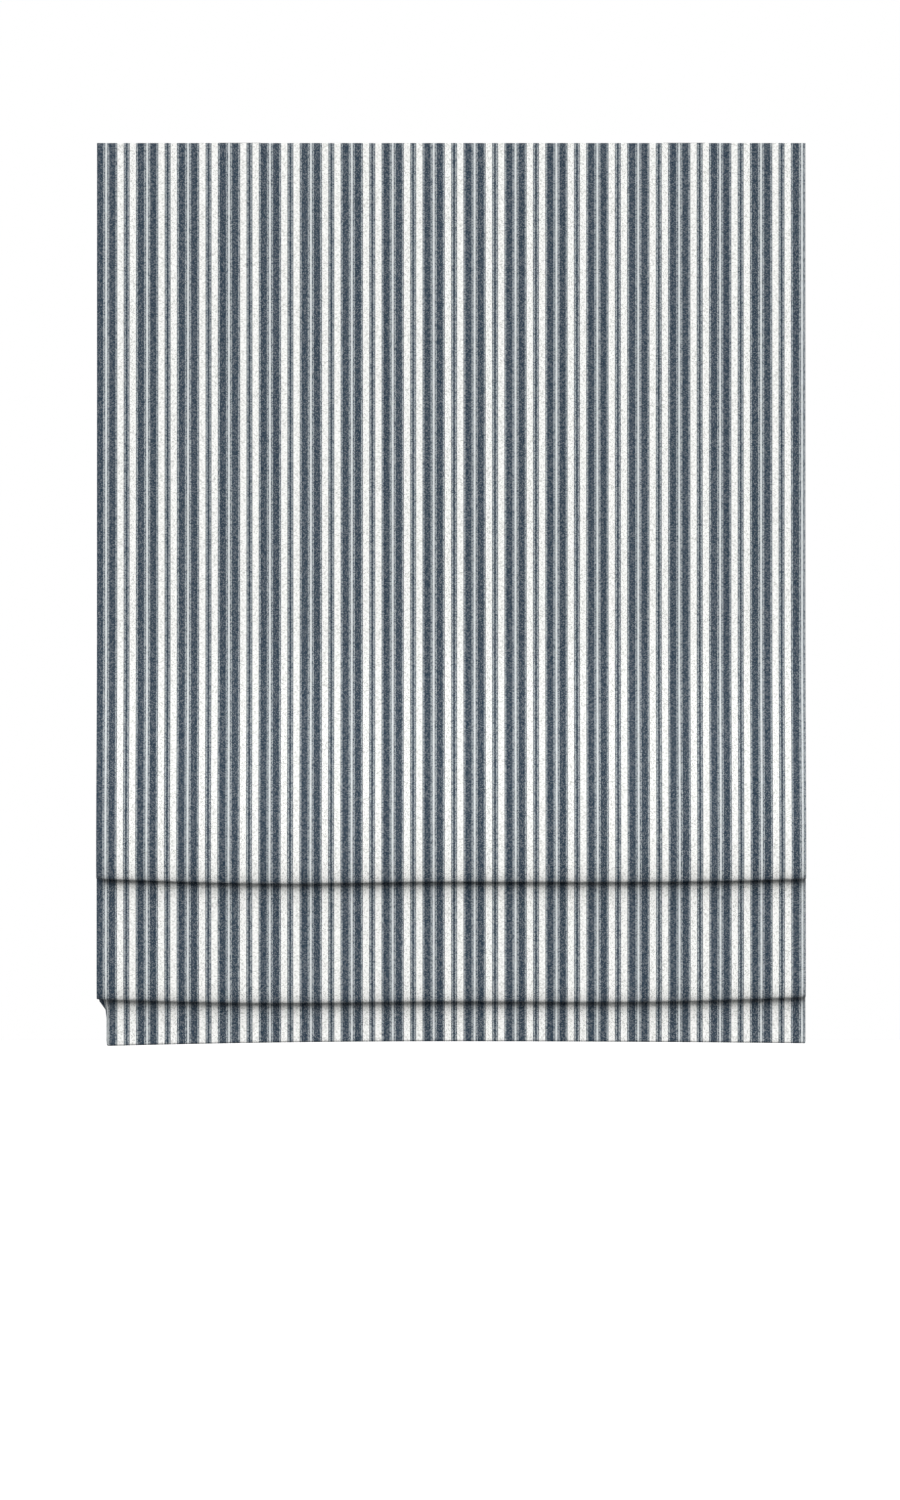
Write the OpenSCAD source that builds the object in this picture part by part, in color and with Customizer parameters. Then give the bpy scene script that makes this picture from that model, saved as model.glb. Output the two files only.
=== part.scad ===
// Cordless flat-fold roman blind, partly raised, with its spring lift in an open-topped head rail.
// Millimetres. X runs across the window, -Y faces the room and +Z is up.
// The origin is the centre of the bracket screw pattern, on the window head.

/* [Cloth] */
// Width of the hung cloth
blind_w = 914; // [760:1:1400]
// Drop from the window head to the bottom edge
drop = 1160; // [1000:1:1600]
// Height of the hem panel that shows below the lower fold
hem_show = 56; // [40:1:90]
// Height of the middle panel that shows below the upper fold
middle_show = 154; // [120:1:220]
// How far the cloth climbs behind the upper fold to its rib
upper_climb = 40; // [32:1:60]
// Height between the two ribs that are gathered together
row_gap = 45; // [38:1:70]
// Half the depth of a hanging fold
hang_r = 4.5; // [3:0.1:8]
// Height over which a hanging fold rounds under
hang_drop = 7; // [5:0.5:20]
// How far the flat panel comes forward on its way down to the middle rib
panel_lean = 3; // [0:0.5:4]
// Radius of the turn over a rib
rib_turn_r = 3; // [2:0.1:5]
// Thickness of the face cloth
face_t = 0.8; // [0.5:0.05:1.2]
// Thickness of the lining
lining_t = 0.5; // [0.3:0.05:0.8]
// Air between the face cloth and the lining
cloth_gap = 0.2; // [0.1:0.05:0.4]
// Width of the face cloth turned to the back along each side
side_hem = 18; // [10:1:30]
// Gap between the window head and the cloth's top edge
cloth_top_gap = 1; // [0.5:0.1:3]

/* [Head rail] */
// Depth of the head rail
rail_d = 44; // [42:0.5:50]
// Height of the head rail
rail_h = 34; // [33:0.5:44]
// Wall of the head rail
rail_t = 1.3; // [1:0.1:1.8]
// Width of each lip turned in over the rail's open top
lip_w = 8; // [6:0.5:10]
// Outside radius of the rail's bends
rail_bend_r = 2; // [1.9:0.1:3]
// Distance from each side of the cloth to the end of the rail
rail_inset = 3; // [2:0.5:8]
// Thickness of an end cap's plate
cap_t = 2; // [1.5:0.1:3]
// How far an end cap's plug reaches into the rail
cap_plug = 10; // [6:0.5:20]
// Thickness of the hook tape on the rail
hook_t = 1.6; // [1:0.1:2.2]
// Thickness of the loop tape sewn to the cloth
loop_t = 1.6; // [1:0.1:2.2]
// Height of the hook and loop tapes
fastener_h = 25; // [16:1:30]

/* [Brackets] */
// Distance of each bracket's screws from the side of the cloth
screw_inset = 170; // [150:1:230]
// Distance between the two screw holes of a bracket
screw_pitch = 18; // [14:0.5:22]
// Diameter of a screw hole
screw_hole_d = 4.6; // [3.5:0.1:5.5]
// Length of a bracket plate
bracket_l = 54; // [52:1:70]
// Thickness of the bracket plate
bracket_t = 1.6; // [1.2:0.1:2]
// Thickness of the swivel latch's lever and jaw
latch_t = 2; // [1.6:0.1:3]
// Width of the lever
lever_w = 9; // [7:0.5:12]
// How far the lever stands out behind the rail
lever_reach = 7; // [4:0.5:10]
// Diameter of the latch rivet
rivet_d = 5; // [4:0.1:6]

/* [Lift] */
// Distance of the outer lift cords from the sides of the cloth
cord_inset = 80; // [60:1:110]
// Diameter of a lift cord
cord_d = 1.4; // [1:0.1:1.8]
// Diameter of the spool that winds the cord
spool_d = 16; // [12:0.5:17]
// Length of the spool between its flanges
spool_l = 30; // [26:0.5:36]
// How far a spool's flange stands above its drum
flange_h = 3.5; // [2.5:0.1:4]
// Turns of cord on each spool
cord_turns_n = 7; // [4:1:8]
// Width across the flats of the lift shaft
shaft_af = 6; // [5:0.1:6.5]
// Diameter of the journals that turn in the cradles and the motor
journal_d = 10; // [9.2:0.1:11]
// Thickness of the cradle walls
cradle_t = 2.4; // [1.8:0.1:3]
// Length of the spring motor
motor_l = 80; // [50:1:120]
// Wall of the motor housing
motor_t = 1.5; // [1.2:0.1:1.8]
// Distance of the motor's middle from the middle of the blind
motor_x = 150; // [110:1:190]
// How far the spring drums' flanges stand above the coiled spring
coil_rim = 0.8; // [0.4:0.1:1.5]

/* [Ribs and bottom bar] */
// Diameter of a rib rod
rod_d = 4; // [3:0.1:4.5]
// Height of a rib tape
tape_h = 16; // [15:0.5:20]
// Thickness of a rib tape
tape_t = 0.8; // [0.5:0.1:1.2]
// Distance from each side of the cloth to the end of a rib
rib_inset = 25; // [20:1:40]
// Outside diameter of a cord ring
ring_d = 14; // [13:0.5:16]
// Thickness of a cord ring
ring_t = 2; // [1.6:0.1:2.4]
// Height of the bottom bar
bar_h = 25; // [18:0.5:32]
// Thickness of the bottom bar
bar_t = 3; // [2:0.1:4]
// Distance from each side of the cloth to the end of the bottom bar
bar_inset = 22; // [15:0.5:40]
// Diameter of a cord adjuster
adjuster_d = 12; // [11.5:0.5:13]
// Height of a cord adjuster
adjuster_h = 14; // [10:0.5:20]

/* [Hidden] */
$fn = 48;

// Clearances: loose pieces, turning fits, and pieces of the same body that seat on each other
loose = 0.3;
running = 0.1;
seat = 0.05;

// Rail and bracket heights, from the window head down
lever_room = latch_t + 2 * loose;
rail_top = -(bracket_t + lever_room);
rail_bottom = rail_top - rail_h;
rail_floor = rail_bottom + rail_t;
rail_l = blind_w - 2 * rail_inset;
rail_in = rail_d / 2 - rail_t;

// Cloth planes, from the rail's front forwards
face_in = cloth_gap / 2;
face_out = face_in + face_t;
lining_in = -cloth_gap / 2;
lining_out = lining_in - lining_t;
loop_front = -rail_d / 2 - hook_t - loop_t;
hang_y = loop_front + lining_out;
tape_back = loop_front + loose + tape_t;
cord_y = tape_back + 2 * seat + ring_d / 2;
lower_y = hang_y - 2 * rib_turn_r - 2 * hang_r;
upper_y = lower_y - 2 * rib_turn_r - 2 * hang_r;

// Fold and rib heights
cloth_top = -cloth_top_gap;
hem_z = -drop + face_out;
lower_fold_z = -drop + hem_show;
upper_fold_z = lower_fold_z + middle_show;
lower_rib_z = upper_fold_z + upper_climb;
bottom_rib_z = lower_rib_z - row_gap;
rib_pitch = -lower_rib_z / 3;
upper_rib_z = -rib_pitch;
middle_rib_z = -2 * rib_pitch;

// Rib tape sections, measured down from the turn over the rib
tape_drop = 0.5;
pocket_r = rod_d / 2 + loose;
pocket_wall = 0.6;
pocket_drop = tape_drop + pocket_r + pocket_wall + 1;
ring_drop = tape_drop + tape_h - ring_t - 2;
rib_l = blind_w - 2 * rib_inset;

// Bottom hem pocket
bar_room = 0.35;
hem_turn_r = (bar_t + 2 * bar_room - cloth_gap) / 2;
bar_z = hem_z + hem_turn_r + bar_room;
pocket_shut = 8;
pocket_seam = 5;
hem_top = bar_z + bar_h + 2;
lining_end = bar_z + bar_h + 3;

// Lift shaft, spools and cords
spool_r = spool_d / 2;
flange_r = spool_r + flange_h;
flange_t = 2;
journal_l = cradle_t + 2 * loose;
cradle_base = 2;
shaft_y = cord_y + spool_r + cord_d / 2 + loose;
shaft_z = rail_floor + cradle_base + flange_r + 2 * loose;
shaft_l = rail_l - 2 * cap_plug - 4;
cord_x = [-(blind_w / 2 - cord_inset), 0, blind_w / 2 - cord_inset];
cord_lead = 7;
spool_shift = spool_l / 2 - cord_lead;
turn_pitch = cord_d - 0.1;
nose_r = cord_d / 2 + 1.9;
nose_hole_r = cord_d / 2 + 1;
nose_out = 2;
ring_z_bottom = bottom_rib_z - rib_turn_r - ring_drop;
adjuster_z = ring_z_bottom - ring_t / 2 - seat - adjuster_h / 2;

// Spring motor: two equal drums side by side fill the rail behind the cord line
drum_gap = 0.4;
motor_edge = rail_in - loose - motor_t - loose;
drum_flange_r = min((motor_edge - shaft_y - drum_gap) / 3, motor_edge + shaft_y);
coil_r = drum_flange_r - coil_rim;
drum_pitch = 2 * drum_flange_r + drum_gap;
storage_y = shaft_y + drum_pitch;
hub_r = shaft_af / 2 / cos(30) + 1.2;
motor_in = storage_y + drum_flange_r + loose;
motor_front_in = shaft_y - drum_flange_r - loose;
motor_top = shaft_z + drum_flange_r + loose + motor_t;
drum_l = motor_l - 2 * motor_t - 2 * loose;
spring_w = drum_l - 2 * flange_t - 2 * loose;
axle_r = 2.5;

// Bracket plan, measured from the screw line
screw_from_end = 13;
pivot_from_screws = 26;
rear_flange_l = 20;
jaw_l = 2 * (rail_d / 2 - rail_t - 1.7);
jaw_w = 11;
neck_r = rivet_d / 2 + 2.5;
rivet_head_t = 1.2;

// Path functions in the YZ plane
function unit(v) = v / norm(v);
function backwards(list) = [for (i = [len(list) - 1:-1:0]) list[i]];
function arc(centre, r, from, to, steps = 10, tall = 1) =
    [for (i = [0:steps]) let (a = from + (to - from) * i / steps) centre + r * [cos(a), tall * sin(a)]];
// The turn at the bottom of a hanging fold, drawn down to a soft crease
function hanging(centre) = arc(centre, hang_r, 180, 360, 14, hang_drop / hang_r);
// A soft S from one upright run of cloth to another
function sway(from, to, steps = 12) =
    [for (i = [1:steps - 1]) let (u = i / steps)
        [from[0] + (to[0] - from[0]) * u * u * (3 - 2 * u), from[1] + (to[1] - from[1]) * u]];
// A right-angled corner of bent sheet
function bend(a, b, c, r, steps = 5) =
    let (u = unit(a - b), v = unit(c - b), m = b + r * (u + v))
    [for (i = [0:steps]) m - r * (v * cos(90 * i / steps) + u * sin(90 * i / steps))];
function bent(points, r) = concat(
    [points[0]],
    [for (i = [1:len(points) - 2]) each bend(points[i - 1], points[i], points[i + 1], r)],
    [points[len(points) - 1]]);
// The path moved sideways; positive is to the right of its direction
function beside(path, d) = [for (i = [0:len(path) - 1])
    let (t = unit(path[min(i + 1, len(path) - 1)] - path[max(i - 1, 0)])) path[i] + d * [t[1], -t[0]]];
function band(path, from, to) = concat(beside(path, from), backwards(beside(path, to)));
// A rectangle between two corners, with round corners of its own
function rounded_box(low, high, r) = concat(
    arc([high[0] - r, high[1] - r], r, 0, 90, 5), arc([low[0] + r, high[1] - r], r, 90, 180, 5),
    arc([low[0] + r, low[1] + r], r, 180, 270, 5), arc([high[0] - r, low[1] + r], r, 270, 360, 5));

// The line between face cloth and lining, from the top edge to the start of the hem
upper_turn = [upper_y + hang_r, upper_fold_z + face_out + hang_drop];
lower_turn = [lower_y + hang_r, lower_fold_z + face_out + hang_drop];
lower_rib_turn = [hang_y - rib_turn_r, lower_rib_z - rib_turn_r];
bottom_rib_turn = [hang_y - rib_turn_r, bottom_rib_z - rib_turn_r];
tape_foot = [hang_y, lower_rib_turn[1] - tape_drop - tape_h - 1];
panel_foot = [hang_y - panel_lean, middle_rib_z - tape_h - 4];
folded_path = concat(
    [[hang_y, cloth_top], [hang_y, rail_bottom], panel_foot],
    sway(panel_foot, upper_turn - [hang_r, 0]),
    hanging(upper_turn),
    sway(upper_turn + [hang_r, 0], lower_rib_turn - [rib_turn_r, 0]),
    arc(lower_rib_turn, rib_turn_r, 180, 0),
    [tape_foot],
    sway(tape_foot, [lower_y, bottom_rib_z - 2]),
    [[lower_y, bottom_rib_z - 2]],
    hanging(lower_turn),
    arc(bottom_rib_turn, rib_turn_r, 180, 0));
lining_path = concat(folded_path, [[hang_y, lining_end]]);
hem_back_y = hang_y + 2 * hem_turn_r;
face_path = concat(
    folded_path,
    arc([hang_y + hem_turn_r, hem_z + hem_turn_r], hem_turn_r, 180, 360),
    [[hem_back_y, hem_top], [hang_y - lining_out + seat, hem_top + pocket_shut],
     [hang_y - lining_out + seat, hem_top + pocket_shut + pocket_seam]]);

// Extrudes a YZ section from x0 to x1
module along_x(x0, x1)
    translate([x0, 0, 0]) rotate([90, 0, 90]) linear_extrude(height = x1 - x0) children();

// A cylinder on the X axis
module rod_x(x0, x1, r, sides = $fn)
    translate([x0, 0, 0]) rotate([0, 90, 0]) cylinder(r = r, h = x1 - x0, $fn = sides);

// The lift shaft's hexagon, point up, with room on every flat
module hex_x(x0, x1, room = 0)
    rod_x(x0, x1, (shaft_af / 2 + room) / cos(30), 6);

// A flat bar with round ends, along Y
module round_bar(length, width, thick)
    linear_extrude(height = thick) {
        square([width, length - width], center = true);
        for (s = [-1, 1]) translate([0, s * (length - width) / 2]) circle(d = width);
    }

// HEAD RAIL

module headrail() color("whitesmoke") {
    mid = rail_t / 2;
    y = rail_d / 2 - mid;
    lip = rail_d / 2 - lip_w;
    section = bent([[-lip, rail_top - mid], [-y, rail_top - mid], [-y, rail_bottom + mid],
                    [y, rail_bottom + mid], [y, rail_top - mid], [lip, rail_top - mid]], rail_bend_r - mid);
    difference() {
        along_x(-rail_l / 2, rail_l / 2) polygon(band(section, -mid, mid));
        for (x = cord_x) translate([x, cord_y, rail_bottom - 1]) cylinder(r = nose_r + loose, h = rail_t + 2);
    }
}

// Moulded cap with a sunk outer panel and a hollow plug that slips into the rail's end; side is -1 or 1
module end_cap(side) color("whitesmoke") {
    wall = 1.5;
    panel_in = 4;
    low = [-rail_in + loose, rail_floor + loose];
    high = [rail_in - loose, rail_top - rail_t - loose];
    mirror([side < 0 ? 1 : 0, 0, 0]) {
        difference() {
            along_x(rail_l / 2, rail_l / 2 + cap_t)
                polygon(rounded_box([-rail_d / 2, rail_bottom], [rail_d / 2, rail_top], rail_bend_r));
            along_x(rail_l / 2 + cap_t * 0.7, rail_l / 2 + cap_t + 1)
                polygon(rounded_box([-rail_d / 2 + panel_in, rail_bottom + panel_in],
                                    [rail_d / 2 - panel_in, rail_top - panel_in], rail_bend_r));
        }
        difference() {
            along_x(rail_l / 2 - cap_plug, rail_l / 2) polygon(rounded_box(low, high, rail_bend_r));
            along_x(rail_l / 2 - cap_plug - 1, rail_l / 2 + 1)
                polygon(rounded_box(low + [wall, wall], high - [wall, wall], rail_bend_r));
        }
    }
}

// BRACKETS

function screws_at(side) = side * (blind_w / 2 - screw_inset);
function pivot_at(side) = screws_at(side) + pivot_from_screws;

// Bent steel plate: the front flange and a short rear flange stand on the rail's lips
module bracket(side) color("silver") {
    mid = bracket_t / 2;
    corner_r = 8;
    y = rail_d / 2 - rail_t - mid;
    start = screws_at(side) - screw_from_end;
    front = bent([[y + mid, -mid], [-y, -mid], [-y, rail_top]], 2 * mid);
    both = bent([[y, rail_top], [y, -mid], [-y, -mid], [-y, rail_top]], 2 * mid);
    difference() {
        union() {
            along_x(start, start + rear_flange_l) polygon(band(both, -mid, mid));
            along_x(start + rear_flange_l, start + bracket_l) polygon(band(front, -mid, mid));
        }
        for (s = [-1, 1]) translate([screws_at(side), s * screw_pitch / 2, -bracket_t - 1])
            cylinder(d = screw_hole_d, h = bracket_t + 2);
        translate([pivot_at(side), 0, -bracket_t - 1]) cylinder(r = rivet_d / 2 + seat, h = bracket_t + 2);
        translate([start + bracket_l - corner_r, y + mid - corner_r, -bracket_t - 1])
            linear_extrude(height = bracket_t + 2) difference() {
                square(corner_r + 1);
                circle(corner_r);
            }
    }
}

lever_top = -bracket_t - loose;
jaw_top = rail_top - rail_t - loose;
jaw_bottom = jaw_top - latch_t;

module latch_rivets() color("silver")
    for (side = [-1, 1]) translate([pivot_at(side), 0, 0]) {
        translate([0, 0, jaw_bottom - running - rivet_head_t])
            cylinder(d = rivet_d, h = rivet_head_t + running - jaw_bottom);
        translate([0, 0, jaw_bottom - running - rivet_head_t]) cylinder(d = rivet_d * 1.8, h = rivet_head_t);
    }

// Swivel latch: a lever above the rail's lips, a neck between them and a jaw below them
module latch(side) color("gainsboro") {
    reach = rail_d / 2 + lever_reach;
    translate([pivot_at(side), 0, 0]) difference() {
        union() {
            translate([0, reach / 2 - lever_w / 4, lever_top - latch_t])
                round_bar(reach + lever_w / 2, lever_w, latch_t);
            translate([0, 0, jaw_bottom]) cylinder(r = neck_r, h = lever_top - jaw_bottom);
            translate([0, 0, jaw_bottom]) round_bar(jaw_l, jaw_w, latch_t);
        }
        translate([0, 0, jaw_bottom - 1]) cylinder(r = rivet_d / 2 + running, h = lever_top - jaw_bottom + 2);
        translate([0, reach - lever_w / 2, lever_top - latch_t - 1]) cylinder(d = lever_w / 2, h = latch_t + 2);
    }
}

// LIFT

// Moulded cradle: two walls with snap-in bearings and a nose that leads the cord out of the rail
module spool_cradle(x) color("white") {
    x0 = x + spool_shift - spool_l / 2 - flange_t - loose;
    x1 = x + spool_shift + spool_l / 2 + flange_t + loose;
    bearing = journal_d / 2 + running;
    wall_w = journal_d + 9;
    difference() {
        union() {
            along_x(x0 - cradle_t, x1 + cradle_t)
                translate([-rail_in + rail_bend_r, rail_floor])
                    square([2 * (rail_in - rail_bend_r), cradle_base]);
            for (start = [x0 - cradle_t, x1]) along_x(start, start + cradle_t) {
                translate([shaft_y - wall_w / 2, rail_floor])
                    square([wall_w, shaft_z - rail_floor + journal_d * 0.3]);
                translate([shaft_y + wall_w / 2, rail_floor])
                    polygon([[0, 0], [8, 0], [8, cradle_base], [0, cradle_base + 8]]);
            }
            translate([x, cord_y, rail_bottom - nose_out])
                cylinder(r = nose_r, h = nose_out + rail_t + cradle_base);
        }
        for (start = [x0 - cradle_t - 1, x1 - 1]) {
            translate([0, shaft_y, shaft_z]) rod_x(start, start + cradle_t + 2, bearing);
            along_x(start, start + cradle_t + 2)
                translate([shaft_y - bearing * 0.8, shaft_z]) square([bearing * 1.6, journal_d]);
        }
        translate([x, cord_y, rail_bottom - nose_out - 1])
            cylinder(r = nose_hole_r, h = nose_out + rail_t + cradle_base + 2);
    }
}

// Flanged spool on the hexagonal shaft, with a slot in one flange for the cord's knotted end
module cord_spool(x) color("gainsboro") {
    mid = x + spool_shift;
    translate([0, shaft_y, shaft_z]) difference() {
        union() {
            rod_x(mid - spool_l / 2, mid + spool_l / 2, spool_r);
            for (s = [-1, 1]) {
                rod_x(mid + s * (spool_l + flange_t) / 2 - flange_t / 2,
                      mid + s * (spool_l + flange_t) / 2 + flange_t / 2, flange_r);
                rod_x(mid + s * (spool_l / 2 + flange_t + journal_l / 2) - journal_l / 2,
                      mid + s * (spool_l / 2 + flange_t + journal_l / 2) + journal_l / 2, journal_d / 2);
            }
        }
        hex_x(mid - spool_l, mid + spool_l, seat);
        along_x(mid + spool_l / 2 - 1, mid + spool_l / 2 + flange_t + 1)
            translate([-cord_d / 2 - loose, spool_r - cord_d]) square([cord_d + 2 * loose, flange_r]);
    }
}

// The cord already wound on each spool, turn beside turn
module cord_turns() color("ivory")
    for (x = cord_x) translate([x + cord_d + loose, shaft_y, shaft_z]) rotate([90, 0, 90])
        rotate_extrude() for (i = [0:cord_turns_n - 1])
            translate([spool_r + cord_d / 2 + seat, cord_d / 2 + i * turn_pitch]) circle(d = cord_d);

module lift_shaft() color("silver")
    translate([0, shaft_y, shaft_z]) hex_x(-shaft_l / 2, shaft_l / 2);

// Taut cord from the front of its spool, through the rings, to its adjuster
module lift_cord(x) color("ivory")
    translate([x, cord_y, adjuster_z]) cylinder(d = cord_d, h = shaft_z - adjuster_z);

// SPRING MOTOR

motor_from = -motor_x - motor_l / 2;
motor_to = -motor_x + motor_l / 2;

// Hollow half of the motor's casing between two heights, with half bearings in its ends
module motor_half(low, high) {
    floor_in = rail_floor + motor_t;
    difference() {
        along_x(motor_from, motor_to) intersection() {
            polygon(rounded_box([motor_front_in - motor_t, rail_floor], [motor_in + motor_t, motor_top],
                                rail_bend_r));
            translate([-rail_d, low]) square([2 * rail_d, high - low]);
        }
        along_x(motor_from + motor_t, motor_to - motor_t)
            translate([motor_front_in, floor_in])
                square([motor_in - motor_front_in, motor_top - motor_t - floor_in]);
        translate([0, shaft_y, shaft_z]) rod_x(motor_from - 1, motor_to + 1, journal_d / 2 + running);
        translate([0, storage_y, shaft_z]) rod_x(motor_from - 1, motor_to + 1, axle_r + running);
    }
}

module motor_housing_lower() color("white") motor_half(rail_floor, shaft_z);
module motor_housing_upper() color("white") {
    rib_w = 1.6;
    motor_half(shaft_z, motor_top);
    along_x(motor_from + 4 * motor_t, motor_to - 4 * motor_t)
        for (i = [1:3]) translate([motor_front_in + (motor_in - motor_front_in) * i / 4, motor_top - seat])
            square([rib_w, 1 + seat]);
}

// A spring drum on the X axis with its end journals
module drum(hub, journal) {
    stub = (motor_l - drum_l) / 2;
    rod_x(-motor_x - drum_l / 2, -motor_x + drum_l / 2, hub);
    for (s = [-1, 1]) {
        rim = -motor_x + s * (drum_l - flange_t) / 2;
        tip = -motor_x + s * (drum_l + stub) / 2;
        rod_x(rim - flange_t / 2, rim + flange_t / 2, drum_flange_r);
        rod_x(tip - stub / 2, tip + stub / 2, journal);
    }
}

module output_drum() color("gainsboro")
    translate([0, shaft_y, shaft_z]) difference() {
        drum(hub_r, journal_d / 2);
        hex_x(motor_from - 1, motor_to + 1, seat);
    }

module storage_drum() color("gainsboro") translate([0, storage_y, shaft_z]) drum(hub_r, axle_r);

// Steel ribbon coiled on both drums, crossing between them
module power_spring() color("lightsteelblue") {
    ribbon_t = 0.4;
    inner = hub_r + running;
    lean = asin(2 * (coil_r - ribbon_t / 2) / drum_pitch);
    run = sqrt(drum_pitch * drum_pitch - 4 * pow(coil_r - ribbon_t / 2, 2));
    along_x(-motor_x - spring_w / 2, -motor_x + spring_w / 2) difference() {
        union() {
            for (y = [shaft_y, storage_y]) translate([y, shaft_z]) circle(r = coil_r);
            translate([(shaft_y + storage_y) / 2, shaft_z]) rotate(lean) square([run, ribbon_t], center = true);
        }
        for (y = [shaft_y, storage_y]) translate([y, shaft_z]) circle(r = inner);
    }
}

// CLOTH

module fastener_strip(front, back)
    along_x(-blind_w / 2 + side_hem, blind_w / 2 - side_hem)
        translate([front, rail_top - rail_bend_r - fastener_h]) square([back - front, fastener_h]);

module hook_tape() color("white") fastener_strip(-rail_d / 2 - hook_t, -rail_d / 2);
module loop_tape() color("white") fastener_strip(loop_front, -rail_d / 2 - hook_t);

// Striped face cloth in one length: flat above, two hanging folds, and a bottom hem round the bar
module face_fabric() color("lightslategray") {
    along_x(-blind_w / 2, blind_w / 2) polygon(band(face_path, face_in, face_out));
    for (x = [-blind_w / 2, blind_w / 2 - side_hem])
        along_x(x, x + side_hem) polygon(band(lining_path, lining_out, (face_in + face_out) / 2));
}

module lining() color("ivory")
    along_x(-blind_w / 2 + side_hem + loose, blind_w / 2 - side_hem - loose)
        polygon(band(lining_path, lining_out, lining_in));

// RIBS
// Each rib hangs from the height of the turn over it; forward is how far the leaning panel carries it

function lean_at(z) = panel_lean * (rail_bottom - z) / (rail_bottom - panel_foot[1]);

module rib_rod(top, forward = 0) color("whitesmoke")
    translate([0, tape_back + pocket_r - forward, top - pocket_drop]) rod_x(-rib_l / 2, rib_l / 2, rod_d / 2);

// Woven tape with a rod pocket along its back
module rib_tape(top, forward = 0) color("white")
    along_x(-rib_l / 2, rib_l / 2) translate([tape_back - forward, top]) difference() {
        union() {
            translate([-tape_t, -tape_drop - tape_h]) square([tape_t, tape_h]);
            translate([pocket_r, -pocket_drop]) circle(r = pocket_r + pocket_wall);
        }
        translate([pocket_r, -pocket_drop]) circle(r = pocket_r);
    }

module rib_rings(top, forward = 0) color("white")
    for (x = cord_x) translate([x, cord_y - forward, top - ring_drop])
        rotate_extrude() translate([(ring_d - ring_t) / 2, 0]) circle(d = ring_t, $fn = 24);

lower_tape_top = lower_rib_z - rib_turn_r;
bottom_tape_top = bottom_rib_z - rib_turn_r;

// BOTTOM

// Barrel-shaped adjuster with finger grooves, that the cord is knotted in
module cord_adjusters() color("white")
    for (x = cord_x) translate([x, cord_y, adjuster_z]) rotate_extrude() difference() {
        intersection() {
            translate([-adjuster_h, 0]) circle(r = adjuster_h + adjuster_d / 2);
            translate([0, -adjuster_h / 2]) square([adjuster_d, adjuster_h]);
        }
        translate([0, -adjuster_h]) square([cord_d / 2 + loose, 2 * adjuster_h]);
        for (i = [-1:1]) translate([adjuster_d / 2 + loose, i * adjuster_h / 4]) circle(d = adjuster_h / 9, $fn = 24);
    }

module bottom_bar() color("silver")
    along_x(-blind_w / 2 + bar_inset, blind_w / 2 - bar_inset)
        translate([hang_y - face_in + bar_room, bar_z])
            polygon(rounded_box([0, 0], [bar_t, bar_h], bar_t * 0.4));

headrail();
end_cap(-1);  // end_cap_left
end_cap(1);  // end_cap_right
bracket(-1);  // bracket_left
bracket(1);  // bracket_right
latch_rivets();
latch(-1);  // latch_left
latch(1);  // latch_right
spool_cradle(cord_x[0]);  // spool_cradle_left
spool_cradle(cord_x[1]);  // spool_cradle_center
spool_cradle(cord_x[2]);  // spool_cradle_right
cord_spool(cord_x[0]);  // cord_spool_left
cord_spool(cord_x[1]);  // cord_spool_center
cord_spool(cord_x[2]);  // cord_spool_right
cord_turns();
lift_shaft();
motor_housing_lower();
motor_housing_upper();
output_drum();
storage_drum();
power_spring();
hook_tape();
loop_tape();
face_fabric();
lining();
rib_rod(upper_rib_z, lean_at(upper_rib_z));  // upper_rib_rod
rib_tape(upper_rib_z, lean_at(upper_rib_z));  // upper_rib_tape
rib_rings(upper_rib_z, lean_at(upper_rib_z));  // upper_rib_rings
rib_rod(middle_rib_z, lean_at(middle_rib_z));  // middle_rib_rod
rib_tape(middle_rib_z, lean_at(middle_rib_z));  // middle_rib_tape
rib_rings(middle_rib_z, lean_at(middle_rib_z));  // middle_rib_rings
rib_rod(lower_tape_top);  // lower_rib_rod
rib_tape(lower_tape_top);  // lower_rib_tape
rib_rings(lower_tape_top);  // lower_rib_rings
rib_rod(bottom_tape_top);  // bottom_rib_rod
rib_tape(bottom_tape_top);  // bottom_rib_tape
rib_rings(bottom_tape_top);  // bottom_rib_rings
lift_cord(cord_x[0]);  // lift_cord_left
lift_cord(cord_x[1]);  // lift_cord_center
lift_cord(cord_x[2]);  // lift_cord_right
cord_adjusters();
bottom_bar();
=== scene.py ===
import bpy
import math
import numpy as np
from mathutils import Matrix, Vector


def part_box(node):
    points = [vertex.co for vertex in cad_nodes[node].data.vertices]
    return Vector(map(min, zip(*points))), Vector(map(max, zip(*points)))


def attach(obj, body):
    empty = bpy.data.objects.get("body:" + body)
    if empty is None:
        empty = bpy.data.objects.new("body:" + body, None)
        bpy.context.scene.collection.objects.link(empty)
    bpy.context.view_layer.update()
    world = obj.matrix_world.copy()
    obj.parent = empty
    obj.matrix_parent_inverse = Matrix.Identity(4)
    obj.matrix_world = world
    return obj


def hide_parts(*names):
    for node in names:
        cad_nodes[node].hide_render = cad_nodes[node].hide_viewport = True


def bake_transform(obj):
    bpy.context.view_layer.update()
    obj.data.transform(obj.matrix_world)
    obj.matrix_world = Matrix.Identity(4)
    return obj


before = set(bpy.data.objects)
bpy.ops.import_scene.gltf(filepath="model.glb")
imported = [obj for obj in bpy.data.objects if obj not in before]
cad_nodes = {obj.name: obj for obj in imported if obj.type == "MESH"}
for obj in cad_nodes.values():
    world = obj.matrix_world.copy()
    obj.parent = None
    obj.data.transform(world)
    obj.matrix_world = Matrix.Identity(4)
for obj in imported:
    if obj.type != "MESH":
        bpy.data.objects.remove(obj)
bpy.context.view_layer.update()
scene = bpy.context.scene


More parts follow.
